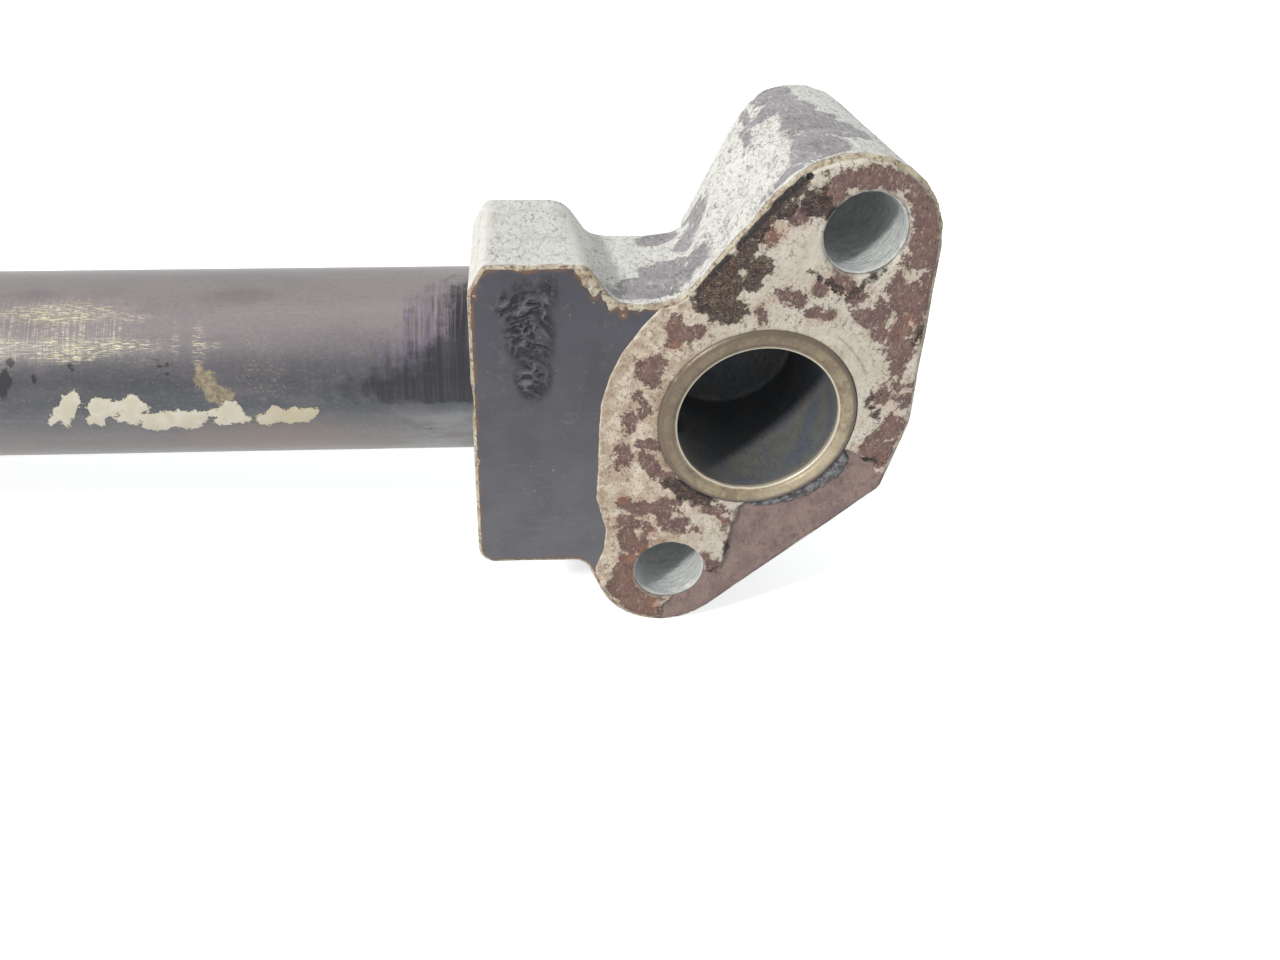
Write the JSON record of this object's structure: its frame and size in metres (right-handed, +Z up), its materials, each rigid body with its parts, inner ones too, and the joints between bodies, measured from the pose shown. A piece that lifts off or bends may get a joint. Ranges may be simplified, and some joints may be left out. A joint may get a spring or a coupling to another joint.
{
  "type": "corroded pipe with bolted end block",
  "caption": "Weathered steel tube with a thick bolted end block, a round port in its face and worn gasket remains.",
  "frame": {"origin": "centre of the round port, on the end block's face", "axes": "-Y out of the port, +Z up, the tube runs towards -X and slopes down to the floor"},
  "size_m": [0.366, 0.0402, 0.0806],
  "materials": {
    "pipe_steel": "dark heat-stained steel with a worn film, brassy wear and pale chips",
    "block_steel": "worn dark paint over pale bare metal, with rust brown on the face",
    "gasket_fibre": "dry pale fibre with rust patches and scratches",
    "eyelet_metal": "dull tarnished metal"
  },
  "bodies": {
    "root": {"pipe": "pipe_steel", "end_block": "block_steel", "gasket": "gasket_fibre", "gasket_eyelet": "eyelet_metal"}
  },
  "joints": []
}
